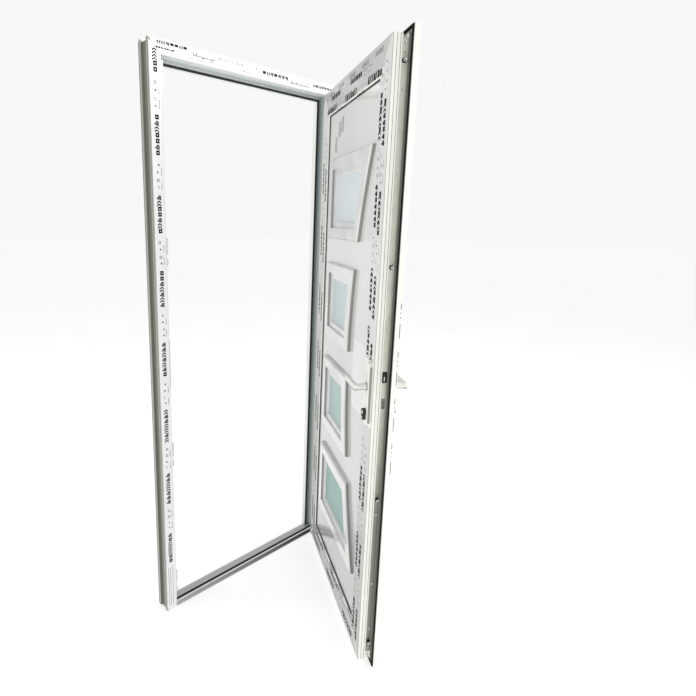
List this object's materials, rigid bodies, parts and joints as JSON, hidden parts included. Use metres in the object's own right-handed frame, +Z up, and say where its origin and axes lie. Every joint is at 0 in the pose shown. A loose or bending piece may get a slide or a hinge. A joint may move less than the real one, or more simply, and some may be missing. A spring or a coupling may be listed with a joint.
{
  "type": "upvc front door",
  "caption": "White plastic front door in its frame with a low threshold; the panelled leaf with shaped lights swings inward on side hinges.",
  "frame": {"origin": "centre of the threshold's underside, at the middle of the frame's width and depth", "axes": "+X along the frame's width from the lock jamb to the hinge jamb, +Y from the room to the outside, +Z up"},
  "size_m": [0.9, 0.802, 2.1],
  "materials": {
    "frame_upvc": "smooth white plastic",
    "leaf_upvc": "white plastic under a protective film",
    "panel_gloss": "glossy white skin",
    "moulding_gloss": "glossy white moulding",
    "frosted_glass": "frosted pale green glass",
    "black_rubber": "matt black",
    "threshold_aluminium": "mill finish",
    "white_hardware": "white powder coat",
    "zinc_steel": "zinc plated"
  },
  "bodies": {
    "frame": {"lock_jamb": "frame_upvc", "hinge_jamb": "frame_upvc", "frame_head": "frame_upvc", "threshold": "threshold_aluminium", "threshold_seal": "black_rubber", "frame_gasket": "black_rubber", "centre_keep": "zinc_steel", "roller_keeps": "zinc_steel", "frame_hinges": "white_hardware", "hinge_pins": "white_hardware"},
    "leaf": {"lock_stile": "leaf_upvc", "hinge_stile": "leaf_upvc", "bottom_rail": "leaf_upvc", "top_rail": "leaf_upvc", "bead_lock_side": "leaf_upvc", "bead_hinge_side": "leaf_upvc", "bead_bottom": "leaf_upvc", "bead_top": "leaf_upvc", "leaf_gasket": "black_rubber", "panel_gasket": "black_rubber", "bead_gasket": "black_rubber", "door_panel": "panel_gloss", "lock_faceplate": "zinc_steel", "lock_case": "zinc_steel", "profile_cylinder": "zinc_steel", "handle_plate_outer": "white_hardware", "handle_plate_inner": "white_hardware", "leaf_hinges": "white_hardware", "light_surround_outer_1": "moulding_gloss", "light_surround_inner_1": "moulding_gloss", "glass_unit_1": "frosted_glass", "light_surround_outer_2": "moulding_gloss", "light_surround_inner_2": "moulding_gloss", "glass_unit_2": "frosted_glass", "light_surround_outer_3": "moulding_gloss", "light_surround_inner_3": "moulding_gloss", "glass_unit_3": "frosted_glass", "light_surround_outer_4": "moulding_gloss", "light_surround_inner_4": "moulding_gloss", "glass_unit_4": "frosted_glass"},
    "lever": {"lever_outer": "white_hardware", "lever_inner": "white_hardware", "spindle": "zinc_steel"},
    "latch": {"latch_bolt": "zinc_steel"},
    "bolt": {"deadbolt": "zinc_steel"},
    "roller_gear": {"drive_rail": "zinc_steel", "lock_rollers": "zinc_steel"}
  },
  "joints": [
    {"name": "leaf_swing", "type": "hinge", "parent": "frame", "child": "leaf", "pos_m": [0.437, -0.064, 1.05], "axis": [0, 0, 1], "range_deg": [-56, 54]},
    {"name": "lever_turn", "type": "hinge", "parent": "leaf", "child": "lever", "pos_m": [-0.0694, -0.68137, 1.027], "axis": [-0.829, 0.5592, 0], "range_deg": [0, 38], "stiffness_Nm_per_rad": 1},
    {"name": "latch_slide", "type": "slide", "parent": "leaf", "child": "latch", "axis": [0.5592, 0.829, 0], "range_m": [0, 0.0085]},
    {"name": "bolt_slide", "type": "slide", "parent": "leaf", "child": "bolt", "axis": [-0.5592, -0.829, 0], "range_m": [0, 0.019]},
    {"name": "roller_lift", "type": "slide", "parent": "leaf", "child": "roller_gear", "axis": [0, 0, 1], "range_m": [0, 0.018]}
  ],
  "couplings": [
    {"joint": "latch_slide", "follows": "lever_turn", "m_per_rad": 0.012816}
  ]
}
